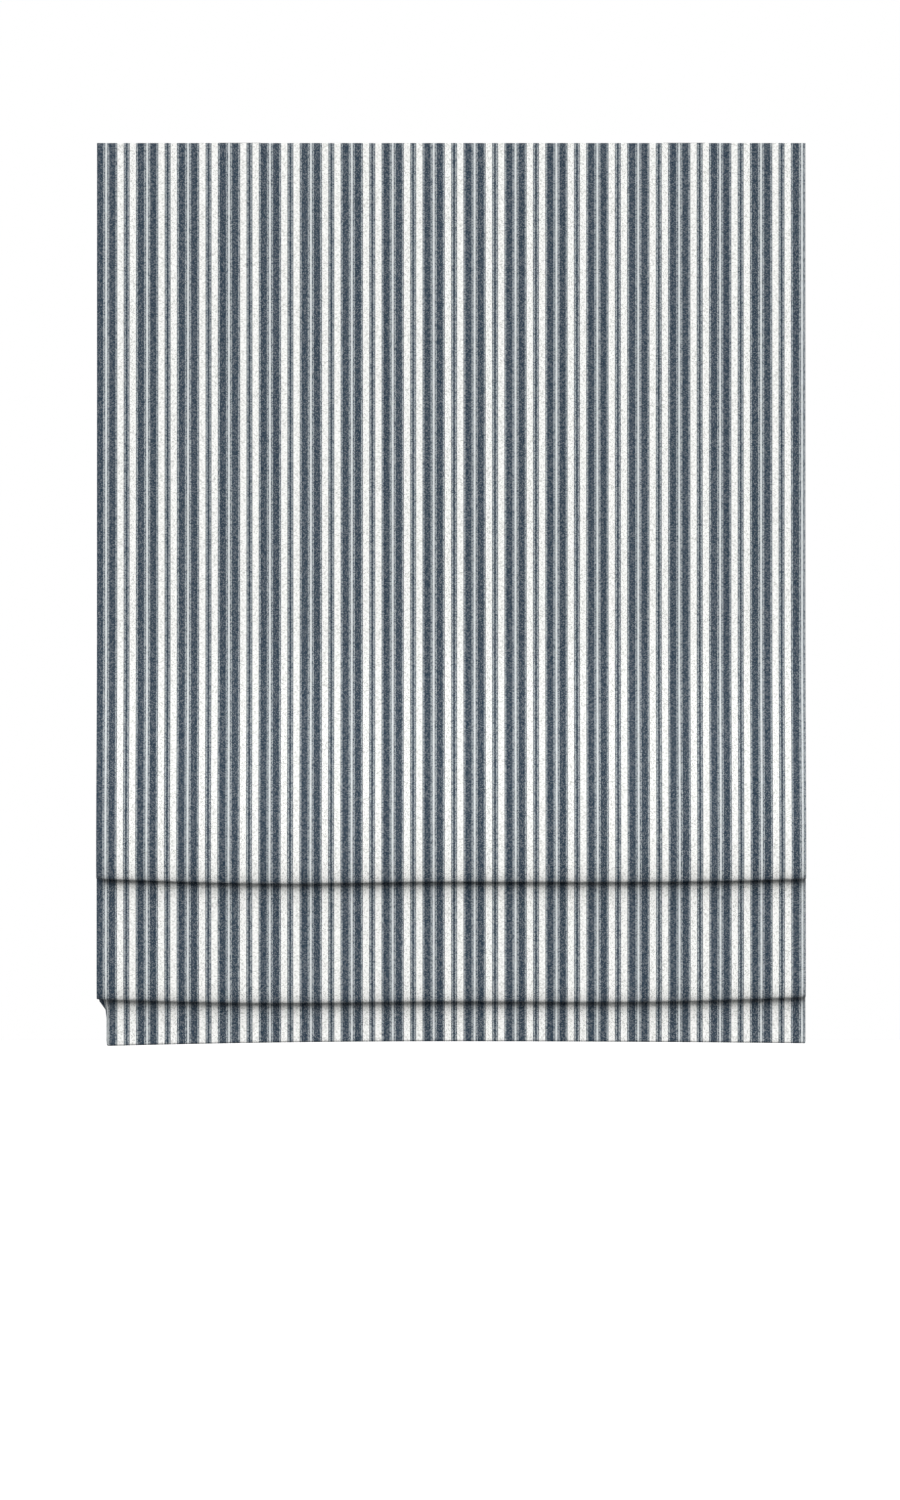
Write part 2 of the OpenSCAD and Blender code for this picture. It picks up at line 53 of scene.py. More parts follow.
# Head rail: a roll-formed aluminium channel, open at the top, with lips that the brackets grip.
# It is powder coated white. A moulded cap plugs each end.
def wire(tree, kind, inputs=None, **settings):
    """Adds a node. inputs maps a socket's name or number to a value, or to the output that feeds it."""
    added = tree.nodes.new(kind)
    for name, value in settings.items():
        setattr(added, name, value)
    for socket, value in (inputs or {}).items():
        if isinstance(value, bpy.types.NodeSocket):
            tree.links.new(value, added.inputs[socket])
        else:
            added.inputs[socket].default_value = value
    return added


def new_finish(name, **constants):
    """A new material, its tree and its Principled shader; constants are the shader's even settings."""
    material = bpy.data.materials.new(name)
    material.use_nodes = True
    tree = material.node_tree
    shader = tree.nodes["Principled BSDF"]
    for socket, value in constants.items():
        shader.inputs[socket.replace("_", " ")].default_value = value
    return material, tree, shader


def grain(tree, scale=1.0, detail=4.0, stretch=(1, 1, 1), place=None):
    """Noise over a piece, in its own place unless another is given; stretch draws it out along an axis."""
    if place is None:
        place = wire(tree, "ShaderNodeTexCoord").outputs["Object"]
    stretched = wire(tree, "ShaderNodeMapping", {"Vector": place, "Scale": stretch}).outputs[0]
    noise = wire(tree, "ShaderNodeTexNoise", {"Vector": stretched, "Scale": scale, "Detail": detail})
    return noise.outputs["Fac"]


def mix(tree, share, first, second, **settings):
    """The first colour at a share of 0 and the second at 1, unless settings blend them in another way."""
    mixer = wire(tree, "ShaderNodeMix", {0: share, 6: first, 7: second}, data_type="RGBA", **settings)
    return mixer.outputs[2]


def tint(tree, shader, share, first, second):
    """Colours the surface between two colours."""
    tree.links.new(mix(tree, share, first, second), shader.inputs["Base Color"])


def roughen(tree, shader, share, low, high):
    """Lets the gloss vary between two roughnesses."""
    spread = wire(tree, "ShaderNodeMapRange", {0: share, 3: low, 4: high}).outputs[0]
    tree.links.new(spread, shader.inputs["Roughness"])


def relief(tree, shader, height, depth, strength):
    """Makes the surface look raised by up to depth metres."""
    bump = wire(tree, "ShaderNodeBump", {"Height": height, "Distance": depth, "Strength": strength})
    tree.links.new(bump.outputs[0], shader.inputs["Normal"])


def dress(names, material):
    """Gives CAD nodes a finish."""
    for name in names:
        cad_nodes[name].data.materials.clear()
        cad_nodes[name].data.materials.append(material)


powder_coat, tree, shader = new_finish("powder_coat", Specular_IOR_Level=0.3)
orange_peel = grain(tree, scale=700, detail=2)
tint(tree, shader, grain(tree, scale=9), (0.66, 0.66, 0.64, 1), (0.76, 0.76, 0.74, 1))
roughen(tree, shader, orange_peel, low=0.42, high=0.62)
relief(tree, shader, orange_peel, depth=0.0002, strength=0.35)
dress(["headrail"], powder_coat)


def moulded(name, first, second, low, high, **constants):
    """A moulded plastic, slightly uneven in colour, with the fine spark grain of its mould."""
    material, tree, shader = new_finish(name, **constants)
    spark_grain = grain(tree, scale=1600, detail=3)
    tint(tree, shader, grain(tree, scale=30), first, second)
    roughen(tree, shader, spark_grain, low, high)
    relief(tree, shader, spark_grain, depth=0.0001, strength=0.5)
    return material


white_moulding = moulded("white_moulding", (0.62, 0.62, 0.59, 1), (0.72, 0.72, 0.69, 1),
                         low=0.44, high=0.64, Specular_IOR_Level=0.3)
dress(["end_cap_left", "end_cap_right"], white_moulding)


# Brackets: two pressed steel plates, bright zinc plated, screwed up overhead.
# A swivel latch turns on a rivet under each plate and grips the rail's lips.
zinc_plate, tree, shader = new_finish("zinc_plate", Metallic=1.0)
rolling_marks = grain(tree, detail=3, stretch=(40, 900, 900))
tint(tree, shader, grain(tree, scale=45), (0.17, 0.175, 0.19, 1), (0.3, 0.29, 0.26, 1))
roughen(tree, shader, rolling_marks, low=0.48, high=0.7)
relief(tree, shader, rolling_marks, depth=0.00008, strength=0.4)
dress(["bracket_left", "bracket_right", "latch_rivets", "latch_left", "latch_right"], zinc_plate)


# Lift: three cord spools on one drawn hexagonal shaft, each in a moulded cradle on the rail's floor.
# The spring motor's two drums share a steel ribbon that balances the cloth's weight.
grey_moulding = moulded("grey_moulding", (0.2, 0.205, 0.215, 1), (0.28, 0.285, 0.295, 1),
                        low=0.36, high=0.56)
cord_places = ["left", "center", "right"]
dress(["cord_spool_" + place for place in cord_places], grey_moulding)
dress(["output_drum", "storage_drum"], grey_moulding)
dress(["spool_cradle_" + place for place in cord_places], white_moulding)
dress(["motor_housing_lower", "motor_housing_upper"], white_moulding)


def drawn_stock(name, lines, first, second, low, high):
    """A metal with the fine lines that drawing leaves along it; lines is how they are stretched."""
    material, tree, shader = new_finish(name, Metallic=1.0)
    draw_lines = grain(tree, detail=2, stretch=lines)
    tint(tree, shader, draw_lines, first, second)
    roughen(tree, shader, draw_lines, low, high)
    relief(tree, shader, draw_lines, depth=0.00005, strength=0.4)
    return material


drawn_metal = drawn_stock("drawn_metal", (6, 1800, 1800), (0.34, 0.35, 0.36, 1), (0.5, 0.51, 0.52, 1),
                          low=0.24, high=0.42)
dress(["lift_shaft"], drawn_metal)

blued_ribbon, tree, shader = new_finish("blued_ribbon", Metallic=1.0)
rolling_marks = grain(tree, detail=2, stretch=(2000, 30, 30))
tint(tree, shader, grain(tree, scale=60), (0.2, 0.23, 0.3, 1), (0.38, 0.38, 0.4, 1))
roughen(tree, shader, rolling_marks, low=0.22, high=0.42)
relief(tree, shader, rolling_marks, depth=0.00005, strength=0.4)
dress(["power_spring"], blued_ribbon)


# Hook and loop: the woven hook tape is stuck along the rail's front, and the loop tape is sewn
# behind the cloth's top edge, so the cloth lifts off for washing.
hook_and_loop, tree, shader = new_finish("hook_and_loop", Roughness=0.9, Sheen_Weight=0.3)
pile = grain(tree, scale=1400, detail=2)
tint(tree, shader, pile, (0.66, 0.66, 0.64, 1), (0.88, 0.88, 0.86, 1))
relief(tree, shader, pile, depth=0.0008, strength=0.8)
dress(["hook_tape", "loop_tape"], hook_and_loop)


# Face cloth: plain-woven cotton ticking in slate and white, in one length. It falls from the rail,
# is gathered into two folds by the ribs behind it, and ends in a hem. Its sides are turned to the back.
face_low, face_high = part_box("face_fabric")
half_width = face_high.x
face_thickness = 0.0008
lining_thickness = 0.0005
cloth_gap = 0.0002
face_line = (cloth_gap + face_thickness) / 2
face_out = cloth_gap / 2 + face_thickness
lining_out = cloth_gap / 2 + lining_thickness

hem_show = 0.056
middle_show = 0.154
hang_turn = 0.0045
hang_drop = 0.022
fold_steps = 28
rib_turn = 0.003
hang_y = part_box("loop_tape")[0].y - lining_out
layer_step = 2 * (rib_turn + hang_turn)
lower_y = hang_y - layer_step
upper_y = lower_y - layer_step
upper_turn = (upper_y + hang_turn, face_low.z + hem_show + middle_show + face_out + hang_drop)
lower_turn = (lower_y + hang_turn, face_low.z + hem_show + face_out + hang_drop)

tape_drop = 0.0005
tape_clear = 0.001
panel_foot_drop = 0.0035
middle_rib_low, middle_rib_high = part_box("middle_rib_tape")
lower_rib_low, lower_rib_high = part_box("lower_rib_tape")
bottom_rib_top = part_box("bottom_rib_tape")[1].z
rail_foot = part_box("headrail")[0].z
panel_foot_z = middle_rib_low.z - panel_foot_drop
panel_lean = lower_rib_low.y - middle_rib_low.y
lean_share = (rail_foot - panel_foot_z) / (rail_foot - middle_rib_high.z - tape_drop)
panel_foot = (hang_y - panel_lean * lean_share, panel_foot_z)
lower_rib_turn = (hang_y - rib_turn, lower_rib_high.z + tape_drop)
bottom_rib_turn = (hang_y - rib_turn, bottom_rib_top + tape_drop)
tape_foot = (hang_y, lower_rib_low.z - tape_clear)
middle_head = (lower_y, bottom_rib_turn[1] + tape_clear)

bar_low, bar_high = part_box("bottom_bar")
bar_room = 0.00035
bar_headroom = 0.002
seam_rise = 0.008
seam_width = 0.005
seam_seat = 0.00005
hem_turn = ((bar_high.y - bar_low.y) + 2 * bar_room - cloth_gap) / 2
hem_turn_centre = (hang_y + hem_turn, bar_low.z - bar_room)
hem_back_y = hang_y + 2 * hem_turn
hem_top = bar_high.z + bar_headroom
seam_y = hang_y + lining_out + seam_seat
seam_low = hem_top + seam_rise
seam_high = seam_low + seam_width


def ease(share):
    """A share from 0 to 1 that starts and ends gently."""
    return share * share * (3 - 2 * share)


def run(start, end, steps):
    """A straight stretch of a line of cloth, without its first point."""
    return [(start[0] + (end[0] - start[0]) * i / steps, start[1] + (end[1] - start[1]) * i / steps)
            for i in range(1, steps + 1)]


def sway(start, end, steps):
    """A soft S from one upright run to another, without its first point."""
    return [(start[0] + (end[0] - start[0]) * ease(i / steps), start[1] + (end[1] - start[1]) * i / steps)
            for i in range(1, steps + 1)]


def turn(centre, radius, start, end, steps=14, tall=1.0):
    """A turn in a line of cloth, in degrees from its first axis to its second, which tall stretches."""
    angles = [math.radians(start + (end - start) * i / steps) for i in range(steps + 1)]
    return [(centre[0] + radius * math.cos(a), centre[1] + radius * tall * math.sin(a)) for a in angles]


def fold(centre):
    """The drawn-in foot of a fold, from the front round to the back."""
    return turn(centre, hang_turn, start=180, end=360, steps=fold_steps, tall=hang_drop / hang_turn)


lower_rib_front = (hang_y - 2 * rib_turn, lower_rib_turn[1])
bottom_rib_front = (hang_y - 2 * rib_turn, bottom_rib_turn[1])
panel = {
    "top": [(hang_y, face_high.z)] + run((hang_y, face_high.z), (hang_y, rail_foot), steps=3),
    "panel": run((hang_y, rail_foot), panel_foot, steps=44),
    "bulge": sway(panel_foot, (upper_y, upper_turn[1]), steps=32)[:-1],
    "upper_fold": fold(upper_turn),
    "climb": sway((upper_turn[0] + hang_turn, upper_turn[1]), lower_rib_front, steps=8)[:-1],
    "lower_rib": turn(lower_rib_turn, rib_turn, start=180, end=0),
    "tape": run((hang_y, lower_rib_turn[1]), tape_foot, steps=3),
    "fall": sway(tape_foot, middle_head, steps=8),
    "middle": run(middle_head, (lower_y, lower_turn[1]), steps=13)[:-1],
    "lower_fold": fold(lower_turn),
    "second_climb": run((lower_turn[0] + hang_turn, lower_turn[1]), bottom_rib_front, steps=12)[:-1],
    "bottom_rib": turn(bottom_rib_turn, rib_turn, start=180, end=0),
}
hem = {
    "back_panel": run((hang_y, bottom_rib_turn[1]), (hang_y, hem_top), steps=16),
    "pocket_front": run((hang_y, hem_top), (hang_y, hem_turn_centre[1]), steps=6)[:-1],
    "hem_turn": turn(hem_turn_centre, hem_turn, start=180, end=360),
    "pocket_back": run((hem_back_y, hem_turn_centre[1]), (hem_back_y, hem_top), steps=6),
    "pocket_shut": run((hem_back_y, hem_top), (seam_y, seam_low), steps=3),
    "seam": run((seam_y, seam_low), (seam_y, seam_high), steps=2),
}


def chains(name, paths):
    """A bare piece that holds paths as chains of points, for a tree to build on."""
    firsts = np.cumsum([0] + [len(path) for path in paths[:-1]])
    links = [(first + i, first + i + 1) for first, path in zip(firsts, paths) for i in range(len(path) - 1)]
    mesh = bpy.data.meshes.new(name)
    mesh.from_pydata([point for path in paths for point in path], links, [])
    return bpy.data.objects.new(name, mesh)


def mark(piece, key, values):
    """Gives each point of a piece a value."""
    piece.data.attributes.new(key, "FLOAT", "POINT").data.foreach_set("value", values.astype(np.float32))


def distances(points):
    """How far along a chain each of its points lies."""
    return np.concatenate([[0], np.cumsum([math.dist(a, b) for a, b in zip(points, points[1:])])])


dip_fall = 0.03
dip_turn = 0.006
dip_rise = 0.026
curl_lead = 0.03
curl_ease = 0.026


def fold_line(name, parts):
    """The cloth's path as a chain of points, and its length. Each point carries its place along the
    cloth and how far the folds' sag, the hem's dip and the hem's curl reach it."""
    points = [point for part in parts.values() for point in part]
    along = distances(points)
    last = dict(zip(parts, np.cumsum([len(part) for part in parts.values()]) - 1))
    end = {part: along[last[part]] for part in parts}
    middle = {part: along[last[part] - len(parts[part]) // 2] for part in parts}
    pocket = end["back_panel"]
    dip_places = np.cumsum([pocket, dip_fall, dip_turn, dip_rise])
    curl_places = (pocket - curl_lead, pocket - curl_lead + curl_ease)
    reach = {
        "upper_sag": ((end["panel"], middle["upper_fold"], middle["lower_rib"]), (0, 1, 0)),
        "lower_sag": ((end["tape"], middle["lower_fold"], middle["bottom_rib"]), (0, 1, 0)),
        "hem_dip": (dip_places, (0, 1, 1, 0)),
        "hem_curl": (curl_places, (0, 1)),
    }
    piece = chains(name, [[(0, y, z) for y, z in points]])
    mark(piece, "along", along)
    for key, (places, shares) in reach.items():
        mark(piece, key, ease(np.interp(along, places, shares)))
    return piece, float(along[-1])


def cross_section(name, points):
    """The cloth's edge-on outline from side to side, and its width. Each point carries its place across."""
    across = distances(points)
    piece = chains(name, [[(x, y, 0) for x, y in points]])
    mark(piece, "across", across - across[-1] / 2)
    return piece, float(across[-1])


def calc(tree, operation, *values):
    """The output of a Math node."""
    return wire(tree, "ShaderNodeMath", dict(enumerate(values)), operation=operation).outputs[0]


def new_tree(name, inputs):
    """A Geometry Nodes tree with named inputs: (tree, outputs that give them, their identifiers)."""
    tree = bpy.data.node_groups.new(name, "GeometryNodeTree")
    known = {}
    for label, kind in inputs.items():
        socket = tree.interface.new_socket(label, in_out="INPUT", socket_type="NodeSocket" + kind)
        known[label] = socket.identifier
    tree.interface.new_socket("Geometry", in_out="OUTPUT", socket_type="NodeSocketGeometry")
    return tree, wire(tree, "NodeGroupInput").outputs, known


def finish_tree(tree, shape, material):
    """Ends a tree in one smooth, realized shape of one material."""
    smooth = wire(tree, "GeometryNodeSetShadeSmooth", {0: shape}).outputs[0]
    realized = wire(tree, "GeometryNodeRealizeInstances", {0: smooth}).outputs[0]
    coloured = wire(tree, "GeometryNodeSetMaterial", {"Geometry": realized, "Material": material})
    wire(tree, "NodeGroupOutput", {0: coloured.outputs[0]})


hung_cloth, given, cloth_inputs = new_tree("hung_cloth", {
    "Fold line": "Geometry", "Cross section": "Object", "Cloth": "Material", "Half width": "Float",
    "Upper sag": "Float", "Upper left bay": "Float", "Upper right bay": "Float",
    "Lower sag": "Float", "Lower bay": "Float", "Lower tilt": "Float",
    "Left dip": "Float", "Right dip": "Float",
    "Curl from": "Float", "Curl radius": "Float", "Hem plane": "Float"})


def carried(key):
    """A value that the points of a chain carry."""
    return wire(hung_cloth, "GeometryNodeInputNamedAttribute", {"Name": key}, data_type="FLOAT").outputs[0]


def cloth_calc(operation, *values):
    """The output of a Math node in the cloth's tree."""
    return calc(hung_cloth, operation, *values)


fold_curve = wire(hung_cloth, "GeometryNodeMeshToCurve", {0: given["Fold line"]}).outputs[0]
fold_curve = wire(hung_cloth, "GeometryNodeSetCurveNormal", {"Curve": fold_curve, "Normal": (1, 0, 0)},
                  mode="FREE").outputs[0]
section = wire(hung_cloth, "GeometryNodeObjectInfo", {"Object": given["Cross section"]}).outputs["Geometry"]
section_curve = wire(hung_cloth, "GeometryNodeMeshToCurve", {0: section}).outputs[0]
swept = wire(hung_cloth, "GeometryNodeCurveToMesh",
             {"Curve": fold_curve, "Profile Curve": section_curve}).outputs[0]
swept_at = wire(hung_cloth, "GeometryNodeInputPosition").outputs[0]
swept_x, swept_y, _ = wire(hung_cloth, "ShaderNodeSeparateXYZ", {0: swept_at}).outputs

side = cloth_calc("DIVIDE", swept_x, given["Half width"])
on_left = cloth_calc("LESS_THAN", side, 0.0)
on_right = cloth_calc("SUBTRACT", 1.0, on_left)
from_ends = cloth_calc("SUBTRACT", 1.0, cloth_calc("POWER", cloth_calc("ABSOLUTE", side), 4.0))
bay = cloth_calc("POWER", cloth_calc("SINE", cloth_calc("MULTIPLY", side, math.pi)), 2.0)
to_end = cloth_calc("MULTIPLY", side, side)


def either_side(left, right):
    """One value left of the middle and another right of it."""
    return cloth_calc("MULTIPLY_ADD", on_left, left, cloth_calc("MULTIPLY", on_right, right))


upper_bay = cloth_calc("MULTIPLY", bay, either_side(given["Upper left bay"], given["Upper right bay"]))
upper_drop = cloth_calc("MULTIPLY_ADD", from_ends, given["Upper sag"], upper_bay)
lower_bay = cloth_calc("MULTIPLY", bay, given["Lower bay"])
lower_drop = cloth_calc("MULTIPLY_ADD", from_ends, given["Lower sag"], lower_bay)
lower_drop = cloth_calc("SUBTRACT", lower_drop, cloth_calc("MULTIPLY", side, given["Lower tilt"]))
hem_drop = cloth_calc("MULTIPLY", to_end, either_side(given["Left dip"], given["Right dip"]))
down = cloth_calc("MULTIPLY", carried("upper_sag"), upper_drop)
down = cloth_calc("MULTIPLY_ADD", carried("lower_sag"), lower_drop, down)
down = cloth_calc("MULTIPLY_ADD", carried("hem_dip"), hem_drop, down)

beyond = cloth_calc("MAXIMUM", cloth_calc("SUBTRACT", given["Curl from"], swept_x), 0.0)
curl_turn = cloth_calc("DIVIDE", beyond, given["Curl radius"])
behind = cloth_calc("SUBTRACT", swept_y, given["Hem plane"])
arm = cloth_calc("SUBTRACT", given["Curl radius"], behind)
curled_x = cloth_calc("SUBTRACT", beyond, cloth_calc("MULTIPLY", arm, cloth_calc("SINE", curl_turn)))
curled_y = cloth_calc("MULTIPLY", arm, cloth_calc("SUBTRACT", 1.0, cloth_calc("COSINE", curl_turn)))
curl = carried("hem_curl")
moved = wire(hung_cloth, "ShaderNodeCombineXYZ", {
    0: cloth_calc("MULTIPLY", curl, curled_x),
    1: cloth_calc("MULTIPLY", curl, curled_y),
    2: cloth_calc("MULTIPLY", down, -1.0)}).outputs[0]
hung = wire(hung_cloth, "GeometryNodeSetPosition", {"Geometry": swept, "Offset": moved}).outputs[0]
cloth_place = wire(hung_cloth, "ShaderNodeCombineXYZ", {0: carried("across"), 1: carried("along")}).outputs[0]
hung = wire(hung_cloth, "GeometryNodeStoreNamedAttribute",
            {"Geometry": hung, "Name": "cloth_place", "Value": cloth_place},
            data_type="FLOAT_VECTOR", domain="POINT").outputs[0]
finish_tree(hung_cloth, hung, given["Cloth"])


def grow(piece, tree, inputs, sizes):
    """Puts a bare piece in the scene with a Geometry Nodes tree on it, and sets the tree's sizes."""
    scene.collection.objects.link(piece)
    growth = piece.modifiers.new(tree.name, "NODES")
    growth.node_group = tree
    for label, value in sizes.items():
        growth[inputs[label]] = value


def settle(piece):
    """Turns a piece and its modifiers into a plain mesh."""
    ready = piece.evaluated_get(bpy.context.evaluated_depsgraph_get())
    plain = bpy.data.meshes.new_from_object(ready)
    piece.modifiers.clear()
    piece.data = plain


curl_inset = 0.003
raw_edge = math.radians(50)


def hang(piece, section, material, thickness):
    """Sweeps a cross section along a piece's fold line, lets it sag and gives it its thickness."""
    grow(piece, hung_cloth, cloth_inputs, {
        "Cross section": section, "Cloth": material, "Half width": half_width,
        "Upper sag": 0.0039, "Upper left bay": 0.0025, "Upper right bay": 0.0006,
        "Lower sag": 0.0045, "Lower bay": 0.0015, "Lower tilt": 0.0013,
        "Left dip": 0.0064, "Right dip": 0.0026,
        "Curl from": bar_low.x + curl_inset, "Curl radius": 0.0125, "Hem plane": hang_y})
    wall = piece.modifiers.new("wall", "SOLIDIFY")
    wall.thickness = thickness
    wall.offset = 0
    wall.use_even_offset = True
    settle(piece)
    piece.data.set_sharp_from_angle(angle=raw_edge)


def plain_weave(tree, across, along, pitch):
    """How high the warp stands above the weft, from 0 to 1."""
    waves = [calc(tree, "SINE", calc(tree, "MULTIPLY", place, math.pi / pitch)) for place in (across, along)]
    return calc(tree, "MULTIPLY_ADD", calc(tree, "MULTIPLY", *waves), 0.5, 0.5)


def yarn_tone(tree, count):
    """A tone of each yarn's own, from 0 to 1."""
    return wire(tree, "ShaderNodeTexWhiteNoise", {"W": calc(tree, "FLOOR", count)},
                noise_dimensions="1D").outputs["Value"]


# Each step of the stripe is a number of warp yarns and how light they are, from 0, slate, to 1, white.
yarn = 0.00132
plies = 3
yarn_drift = 0.0003
dusk = 0.2
mist = 0.36
pin = 0.8
stripe = [(6, 0), (1, mist), (1, dusk), (2, pin), (1, dusk), (1, mist), (6, 0), (1, mist), (1, dusk),
          (6, 1), (1, dusk), (1, mist), (2, 0), (1, mist), (1, dusk), (6, 1), (1, dusk), (1, mist)]
repeat = sum(yarns for yarns, light in stripe) * yarn

ticking, tree, shader = new_finish("ticking", Roughness=0.85, Specular_IOR_Level=0.06, Sheen_Weight=0.02)
cloth_at = wire(tree, "ShaderNodeAttribute", attribute_name="cloth_place").outputs["Vector"]
across, along, _ = wire(tree, "ShaderNodeSeparateXYZ", {0: cloth_at}).outputs
drift = grain(tree, scale=260, detail=2, place=cloth_at)
across = calc(tree, "ADD", across, calc(tree, "MULTIPLY_ADD", drift, yarn_drift, half_width - yarn_drift / 2))
in_repeat = calc(tree, "FRACT", calc(tree, "DIVIDE", across, repeat))
stripe_ramp = wire(tree, "ShaderNodeValToRGB", {0: in_repeat})
stripe_ramp.color_ramp.interpolation = "CONSTANT"
steps = stripe_ramp.color_ramp.elements
laid_yarns = 0
for yarns, light in stripe:
    step = steps.new(laid_yarns * yarn / repeat) if laid_yarns else steps[0]
    step.color = (light, light, light, 1)
    laid_yarns += yarns
steps.remove(steps[-1])
warp = stripe_ramp.outputs[0]

fray_reach = 1.6
yarn_dye = 0.3
mottle_reach = 1.2
yarn_count = calc(tree, "DIVIDE", across, yarn)
pick_count = calc(tree, "DIVIDE", along, yarn)
counted = wire(tree, "ShaderNodeCombineXYZ", {0: yarn_count, 1: pick_count}).outputs[0]
fray = wire(tree, "ShaderNodeTexNoise", {"Vector": cloth_at, "Scale": 1500, "Detail": 2}).outputs["Color"]
frayed = wire(tree, "ShaderNodeVectorMath",
              {0: fray, 1: (fray_reach, fray_reach, 0), 2: counted}, operation="MULTIPLY_ADD").outputs[0]
crossing = wire(tree, "ShaderNodeVectorMath", {0: frayed}, operation="FLOOR").outputs[0]
speck = wire(tree, "ShaderNodeTexWhiteNoise", {"Vector": crossing}, noise_dimensions="2D").outputs["Value"]
speck_dye = calc(tree, "MULTIPLY", speck, 1 - yarn_dye)
dye = calc(tree, "MULTIPLY_ADD", yarn_tone(tree, yarn_count), yarn_dye, speck_dye)
slate = mix(tree, dye, (0.012, 0.03, 0.052, 1), (0.056, 0.078, 0.107, 1))
white = mix(tree, dye, (0.99, 0.993, 0.975, 1), (0.93, 0.935, 0.915, 1))

mixed_yarn = calc(tree, "MULTIPLY", warp, calc(tree, "SUBTRACT", 1.0, warp))
mottle = calc(tree, "MULTIPLY_ADD", speck, 2 * mottle_reach, -mottle_reach)
warp_colour = mix(tree, calc(tree, "MULTIPLY_ADD", mixed_yarn, mottle, warp), slate, white)
blue_share = calc(tree, "MULTIPLY", mixed_yarn, 4.0)
warp_colour = mix(tree, blue_share, warp_colour, (0.92, 0.99, 1.04, 1), blend_type="MULTIPLY")

# Flecks where the weft shows between the warp yarns: on the slate stripes they are the lighter weft, on the
# white stripes they are grey, painted shade between the yarns.
pick_least = 0.3
pick_spread = 0.3
weft_and_shade_specks = 0.7
over = plain_weave(tree, across, along, yarn / plies)
slub = grain(tree, detail=3, stretch=(60, 700, 1), place=cloth_at)
patch = grain(tree, scale=28, detail=3, place=cloth_at)
pick_share = calc(tree, "MULTIPLY_ADD", yarn_tone(tree, pick_count), pick_spread, pick_least)
weft_and_weave_shade_share = calc(tree, "MULTIPLY", calc(tree, "POWER", over, 2.0), calc(tree, "MULTIPLY", slub, patch))
weft_and_weave_shade_share = calc(tree, "MULTIPLY", weft_and_weave_shade_share, pick_share)
weft_and_weave_shade_share = calc(tree, "MULTIPLY_ADD", calc(tree, "POWER", speck, 3.0), weft_and_shade_specks, weft_and_weave_shade_share)
# The grey on the white stripes is painted shade of the weave; on the slate stripes the lighter colour is the
# weft's own.
weft_and_weave_shade_colour = mix(tree, warp, (0.22, 0.24, 0.26, 1), (0.45, 0.46, 0.44, 1))
tint(tree, shader, weft_and_weave_shade_share, warp_colour, weft_and_weave_shade_colour)
relief(tree, shader, over, depth=0.00015, strength=0.5)

side_turn = face_line
lining_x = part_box("lining")[1].x
hem_clear = 0.0003
hem_edge = lining_x + hem_clear
side_x = half_width - face_thickness / 2 - side_turn
hem_middle = (hem_edge + side_x) / 2
face_outline = ([(-hem_edge, -side_turn), (-hem_middle, -side_turn)]
                + turn((-side_x, 0), side_turn, start=270, end=90, steps=6)
                + run((-side_x, side_turn), (side_x, side_turn), steps=116)[:-1]
                + turn((side_x, 0), side_turn, start=90, end=-90, steps=6)
                + [(hem_middle, -side_turn), (hem_edge, -side_turn)])
face_section, face_width = cross_section("face_section", face_outline)
face_cloth, face_length = fold_line("face_cloth", panel | hem)
hang(face_cloth, face_section, ticking, face_thickness)
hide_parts("face_fabric")
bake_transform(face_cloth)


# Lining: closely woven cream cotton behind the face cloth, cut to lie between its side hems and sewn
# to it at the ribs. It stops just above the bottom bar, inside the hem.
lining_cloth, tree, shader = new_finish("lining_cloth", Roughness=0.9, Sheen_Weight=0.1, Sheen_Roughness=0.5)
cloth_at = wire(tree, "ShaderNodeAttribute", attribute_name="cloth_place").outputs["Vector"]
across, along, _ = wire(tree, "ShaderNodeSeparateXYZ", {0: cloth_at}).outputs
lining_yarn = 0.0007
slub = grain(tree, detail=3, stretch=(25, 600, 1), place=cloth_at)
tint(tree, shader, slub, (0.7, 0.67, 0.6, 1), (0.84, 0.82, 0.76, 1))
relief(tree, shader, plain_weave(tree, across, along, lining_yarn), depth=0.0002, strength=0.4)

lining_clear = 0.003
lining_foot = bar_high.z + lining_clear
lining_line = -(cloth_gap + lining_thickness) / 2
lining_run = run((hang_y, bottom_rib_turn[1]), (hang_y, lining_foot), steps=16)
lining_outline = ([(-lining_x, lining_line)]
                  + run((-lining_x, lining_line), (lining_x, lining_line), steps=76))
lining_section, lining_width = cross_section("lining_section", lining_outline)
lining, lining_length = fold_line("lining_sheet", panel | {"back_panel": lining_run})
hang(lining, lining_section, lining_cloth, lining_thickness)
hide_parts("lining")
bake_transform(lining)


# Ribs: a glass-fibre rod in the pocket of a woven tape, four in all, sewn behind the lining.
# Each tape carries a clear ring at every lift cord.
woven_tape, tree, shader = new_finish("woven_tape", Roughness=0.85, Sheen_Weight=0.1)
tape_at = wire(tree, "ShaderNodeTexCoord").outputs["Object"]
tape_x, _, tape_z = wire(tree, "ShaderNodeSeparateXYZ", {0: tape_at}).outputs
tape_pick = 0.0009
waves = [calc(tree, "SINE", calc(tree, "MULTIPLY", place, 2 * math.pi / tape_pick))
         for place in (tape_x, tape_z)]
tape_weave = calc(tree, "MULTIPLY_ADD", calc(tree, "ADD", *waves), 0.25, 0.5)
tint(tree, shader, tape_weave, (0.68, 0.67, 0.64, 1), (0.86, 0.85, 0.82, 1))
relief(tree, shader, tape_weave, depth=0.0002, strength=0.5)

glass_rod, tree, shader = new_finish("glass_rod", Roughness=0.35, Subsurface_Weight=0.1)
fibres = grain(tree, detail=2, stretch=(8, 2200, 2200))
tint(tree, shader, fibres, (0.66, 0.66, 0.56, 1), (0.84, 0.84, 0.76, 1))
relief(tree, shader, fibres, depth=0.00005, strength=0.3)

